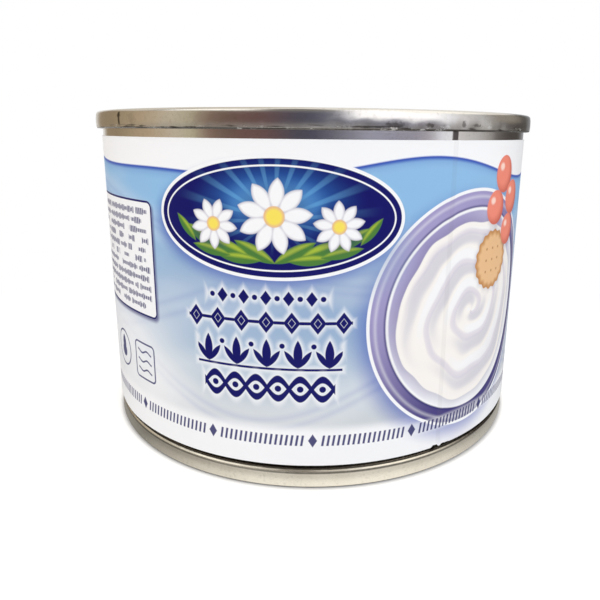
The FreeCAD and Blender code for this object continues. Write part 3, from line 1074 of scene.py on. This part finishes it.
class CAN_OT_label(bpy.types.Operator):
    """Cut, print and wrap the paper label"""

    bl_idname = "tinned_cream.label"
    bl_label = "Paper label"

    def execute(self, context):
        sizes = context.scene.tinned_sleeve
        inks = context.scene.tinned_inks
        low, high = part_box(LABEL_NODE)
        radius = LABEL_RADIUS * MM
        run = FULL_TURN * radius + sizes.lap
        start = sizes.lap_centre - sizes.lap / 2
        tall = high.z - low.z
        clear_selection()
        bpy.ops.mesh.primitive_grid_add(
            x_subdivisions=sizes.columns,
            y_subdivisions=sizes.rows,
            size=1,
            calc_uvs=True,
            rotation=(math.pi / 2, 0, 0),
        )
        piece = bpy.context.object
        piece.scale = (run, tall, 1)
        bpy.ops.object.transform_apply(location=False, rotation=True, scale=True)
        edit(piece)
        bpy.ops.mesh.select_all(action="SELECT")
        bpy.ops.transform.translate(value=(start + run / 2, 0, low.z + tall / 2))
        self.lift(piece, sizes, start + run)
        self.nick(piece, sizes, low.z)
        done()
        self.cockle(piece, sizes, low.z, high.z)
        apply_modifier(piece, "SIMPLE_DEFORM", deform_method="BEND", deform_axis="Z", angle=run / radius)
        edit(piece)
        bpy.ops.mesh.select_all(action="SELECT")
        bpy.ops.transform.translate(value=(0, -radius, 0))
        done()
        apply_modifier(
            piece, "SOLIDIFY", thickness=sizes.paper, offset=-1, material_offset=1, material_offset_rim=1
        )
        smooth_shaded(piece, math.radians(40))
        paper = printed_paper(inks, start / MM, run / MM, low.z / MM, tall / MM, sizes.weld / MM)
        finish_piece(piece, "printed_label", LABEL_NODE, "label_paper", paper, bare_paper())
        return {"FINISHED"}

    def lift(self, piece, sizes, end):
        """Lays the outer end over the inner one, and creases the paper where the weld passes under it."""
        pick(piece, lambda place: place.x > end - sizes.lap)
        bpy.ops.transform.translate(value=(0, -sizes.paper, 0))
        pick(piece, lambda place: abs(place.x - sizes.weld) < 0.2 * MM)
        push_softly((0, -sizes.weld_rise, 0), 1.1 * MM)

    def nick(self, piece, sizes, foot):
        """Frays the paper's foot beside the weld and nicks it over the weld."""
        for shift, half, rise in ((2.0, 0.5, 0.25), (0.9, 0.3, 0.5), (-0.6, 0.5, 1.0)):
            middle = sizes.weld + shift * MM
            pick(piece, lambda place: abs(place.x - middle) < half * MM and place.z < foot + 0.01 * MM)
            bpy.ops.transform.translate(value=(0, 0, sizes.notch * rise))

    def cockle(self, piece, sizes, foot, head):
        """Lets the cut edges stand a little away from the wall, unevenly."""

        def near_edge(place):
            reach_in = min(place.z - foot, head - place.z)
            return max(0.0, 1 - reach_in / (5 * MM)) ** 2

        weigh(piece, "cut_edges", near_edge)
        displace(piece, "cut_edges", 0.011, -sizes.cockle, 0.25, "Y")
        piece.vertex_groups.clear()


# What stands round the can at its own height, from behind it by the left, the front and the right.
ROOM = (
    (-180, (196, 195, 192)), (-165, (206, 204, 200)), (-150, (240, 238, 234)), (-138, (151, 134, 110)),
    (-120, (150, 133, 108)), (-107, (168, 151, 124)), (-90, (184, 164, 136)), (-73, (198, 187, 168)),
    (-62, (186, 180, 154)), (-54, (138, 114, 102)), (-44, (112, 92, 82)), (-34, (112, 84, 80)),
    (-22, (106, 80, 82)), (-10, (78, 76, 90)), (-1, (76, 76, 94)), (12, (114, 114, 128)), (27, (144, 147, 168)),
    (50, (144, 142, 160)), (59, (168, 165, 176)), (67, (236, 240, 250)), (73, (240, 242, 248)),
    (77, (212, 209, 210)), (88, (197, 198, 201)), (97, (176, 175, 176)), (102, (150, 148, 149)),
    (106, (106, 102, 101)), (118, (76, 71, 69)), (136, (76, 72, 68)), (152, (170, 172, 176)),
    (159, (245, 246, 250)), (170, (210, 210, 210)), (180, (196, 195, 192)),
)
# Windows, a lit wall and a beam: where each begins and ends in degrees, its softness, then where it fades in and
# out upwards, and its light.
WINDOWS = (
    ((16, 65), 7, (0.02, 0.11), (0.8, 0.9), (1.35, 1.35, 1.4, 1.0)),
    ((-86, -30), 8, (0.36, 0.5), (0.8, 0.9), (1.3, 1.28, 1.22, 1.0)),
    ((48, 112), 8, (0.28, 0.42), (0.93, 0.98), (1.2, 1.17, 1.1, 1.0)),
    ((98, 126), 10, (0.0, 0.08), (0.3, 0.4), tint(144, 138, 128)),
    ((102, 195), 10, (0.3, 0.45), (0.93, 0.98), (0.9, 0.88, 0.84, 1.0)),
    ((-195, -96), 10, (0.3, 0.45), (0.93, 0.98), (0.7, 0.65, 0.57, 1.0)),
    ((-32, 4), 8, (0.5, 0.65), (0.93, 0.98), tint(122, 116, 112)),
)
# Painted brightness of the table round the can's foot, which metal mirrors in place of the table's own light and
# shade.
PAINTED_TABLE = (
    (-180, (215, 214, 212)), (-90, (155, 153, 150)), (-52, (136, 135, 132)), (-39, (168, 166, 162)),
    (-26, (210, 208, 204)), (-14, (238, 237, 234)), (4, (250, 249, 246)), (22, (243, 242, 239)),
    (36, (222, 221, 218)), (52, (182, 182, 181)), (90, (155, 155, 155)), (180, (215, 214, 212)),
)


def rays(tree):
    """1 or 0 for a ray from the camera, one off metal and one through glass."""
    path = add_node(tree, "LightPath")
    return [Field(tree, path.outputs[name]) for name in ("Is Camera Ray", "Is Glossy Ray", "Is Transmission Ray")]


def mix_shaders(tree, share, under, over):
    """One shader shown over another through a mask."""
    return add_node(tree, "MixShader", {0: share, 1: under.outputs[0], 2: over.outputs[0]})


def lamp(name, power, place, size, colour=(1.0, 1.0, 1.0)):
    """A square soft lamp aimed at the middle of the can."""
    data = bpy.data.lights.new(name, "AREA")
    data.color = colour
    data.energy = power
    data.size = size
    made = bpy.data.objects.new(name, data)
    bpy.context.collection.objects.link(made)
    made.location = place
    aim = Vector((0, 0, 0.026)) - Vector(place)
    made.rotation_euler = aim.to_track_quat("-Z", "Y").to_euler()
    made.visible_glossy = False


class CAN_OT_studio(bpy.types.Operator):
    """Set the floor, the light and the camera"""

    bl_idname = "tinned_cream.studio"
    bl_label = "Studio"

    def execute(self, context):
        levels = context.scene.tinned_studio
        self.floor()
        self.surround(context.scene, levels)
        lamp("key_lamp", levels.key, (0.32, -0.36, 0.34), 0.36)
        lamp("fill_lamp", levels.fill, (-0.50, -0.16, 0.26), 0.4, (1.0, 0.93, 0.84))
        self.camera(context.scene, levels)
        context.scene.view_settings.view_transform = "Standard"
        return {"FINISHED"}

    def floor(self):
        """A plain white table that keeps the can's shadow near it and is pure white further out. Metal sees it as a
        painted glow instead: brighter in front, dimmer at the sides, with painted shadow under the foot.
        """
        clear_selection()
        bpy.ops.mesh.primitive_circle_add(vertices=96, radius=0.2, fill_type="NGON")
        piece = bpy.context.object
        piece.name = "floor"
        material = bpy.data.materials.new("floor")
        material.use_nodes = True
        tree = material.node_tree
        tree.nodes.clear()
        side, depth, _ = axes_of(tree, add_node(tree, "TexCoord").outputs["Object"])
        away = reach(side, depth)
        lit = add_node(tree, "BsdfDiffuse", {"Color": tint(238, 238, 238)})
        glow = add_node(tree, "Emission", {"Strength": away.ramp(0.0364, 0.0374, 0.0, 0.45)})
        near = add_node(tree, "AddShader", {0: lit.outputs[0], 1: glow.outputs[0]})
        white = add_node(tree, "Emission", {"Strength": 1.0})
        shown = mix_shaders(tree, away.ramp(0.045, 0.11), near, white)
        around = side.math("ARCTAN2", -depth) / FULL_TURN + 0.5
        # Painted shadow under the can's foot, and a dimmer table further out, for what metal mirrors.
        under = away.ramp(0.0359, 0.0368, 0.25, 1.0) * away.ramp(0.0375, 0.042, 1.0, 0.7)
        painted_table = blend(tree, under, tint(0, 0, 0), wheel(tree, around, PAINTED_TABLE))
        painted_table_glow = add_node(tree, "Emission", {"Color": painted_table, "Strength": 1.1})
        camera, glossy, through = rays(tree)
        gloss = mix_shaders(tree, glossy, shown, painted_table_glow)
        kept = mix_shaders(tree, camera.most(glossy).most(through), lit, gloss)
        output = add_node(tree, "OutputMaterial")
        tree.links.new(kept.outputs[0], output.inputs["Surface"])
        piece.data.materials.append(material)

    def surround(self, scene, levels):
        """A white backdrop, with the windows and dark walls of a plain room for the metal to reflect."""
        world = bpy.data.worlds.new("surround")
        scene.world = world
        world.use_nodes = True
        tree = world.node_tree
        tree.nodes.clear()
        side, depth, height = axes_of(tree, add_node(tree, "TexCoord").outputs["Generated"])
        around = side.math("ARCTAN2", -depth) / FULL_TURN + 0.5
        lower_wall, upper_wall, ceiling = tint(150, 147, 142), tint(126, 124, 122), tint(244, 241, 234)
        room = wheel(tree, around, ROOM)
        room = blend(tree, height.ramp(-0.16, -0.02, 0.5, 0.0), room, lower_wall)
        room = blend(tree, height.ramp(0.32, 0.5), room, upper_wall)
        room = blend(tree, height.ramp(0.8, 0.92), room, ceiling)
        for (left, right), soft, foot, head, light in WINDOWS:
            edge = soft / 360
            opening = (abs(around - (left + right + 360) / 720) - (right - left) / 720).ramp(-edge, edge, 1.0, 0.0)
            opening = opening * height.ramp(*foot) * height.ramp(*head, 1.0, 0.0)
            room = blend(tree, opening, room, light)
        camera, glossy, through = rays(tree)
        ambient = (levels.ambient,) * 3 + (1.0,)
        lit = blend(tree, camera.most(glossy).most(through), ambient, room)
        shown = blend(tree, camera, lit, (1, 1, 1, 1))
        background = add_node(tree, "Background", {"Color": shown, "Strength": 1.0})
        output = add_node(tree, "OutputWorld")
        tree.links.new(background.outputs[0], output.inputs["Surface"])

    def camera(self, scene, levels):
        """A camera close to the can, a little above its middle and looking down."""
        place = (0, -0.10309, 0.04861)
        yaw, pitch, roll = -0.0169321, -0.2246768, 0.0101442
        right = Vector((math.cos(yaw), math.sin(yaw), 0))
        ahead = Vector((-math.sin(yaw), math.cos(yaw), 0))
        upright = Vector((0, 0, 1))
        forward = ahead * math.cos(pitch) + upright * math.sin(pitch)
        raised = upright * math.cos(pitch) - ahead * math.sin(pitch)
        across = right * math.cos(roll) + raised * math.sin(roll)
        raised = raised * math.cos(roll) - right * math.sin(roll)
        data = bpy.data.cameras.new("camera")
        data.lens = levels.lens
        data.shift_x, data.shift_y = -0.0378, -0.0733
        data.clip_start, data.clip_end = 0.005, 20
        camera = bpy.data.objects.new("camera", data)
        bpy.context.collection.objects.link(camera)
        camera.matrix_world = Matrix(
            [(across[row], raised[row], -forward[row], place[row]) for row in range(3)] + [(0, 0, 0, 1)]
        )
        scene.camera = camera


class CAN_PT_panel(bpy.types.Panel):
    """Lists the pieces of the can and the studio"""

    bl_label = "Tinned cream"
    bl_idname = "CAN_PT_panel"
    bl_space_type = "VIEW_3D"
    bl_region_type = "UI"
    bl_category = "Tinned cream"

    def draw(self, context):
        layout = self.layout
        for operator in OPERATORS:
            layout.operator(operator.bl_idname)
        for group in ("tinned_ends", "tinned_sleeve", "tinned_inks", "tinned_studio"):
            settings = getattr(context.scene, group)
            box = layout.box()
            for name in settings.bl_rna.properties.keys():
                if name not in ("rna_type", "name"):
                    box.prop(settings, name)


GROUPS = {
    "tinned_ends": EndSizes,
    "tinned_sleeve": SleeveSizes,
    "tinned_inks": LabelInks,
    "tinned_studio": StudioLevels,
}
OPERATORS = (CAN_OT_ends, CAN_OT_body, CAN_OT_label, CAN_OT_studio)


def register():
    for group in (*GROUPS.values(), *OPERATORS, CAN_PT_panel):
        bpy.utils.register_class(group)
    for name, group in GROUPS.items():
        setattr(bpy.types.Scene, name, PointerProperty(type=group))


def unregister():
    for name in GROUPS:
        delattr(bpy.types.Scene, name)
    for group in reversed((*GROUPS.values(), *OPERATORS, CAN_PT_panel)):
        bpy.utils.unregister_class(group)


def main():
    """Makes every piece and the studio."""
    register()
    bpy.ops.tinned_cream.ends()
    bpy.ops.tinned_cream.body()
    bpy.ops.tinned_cream.label()
    bpy.ops.tinned_cream.studio()


if __name__ == "__main__":
    main()
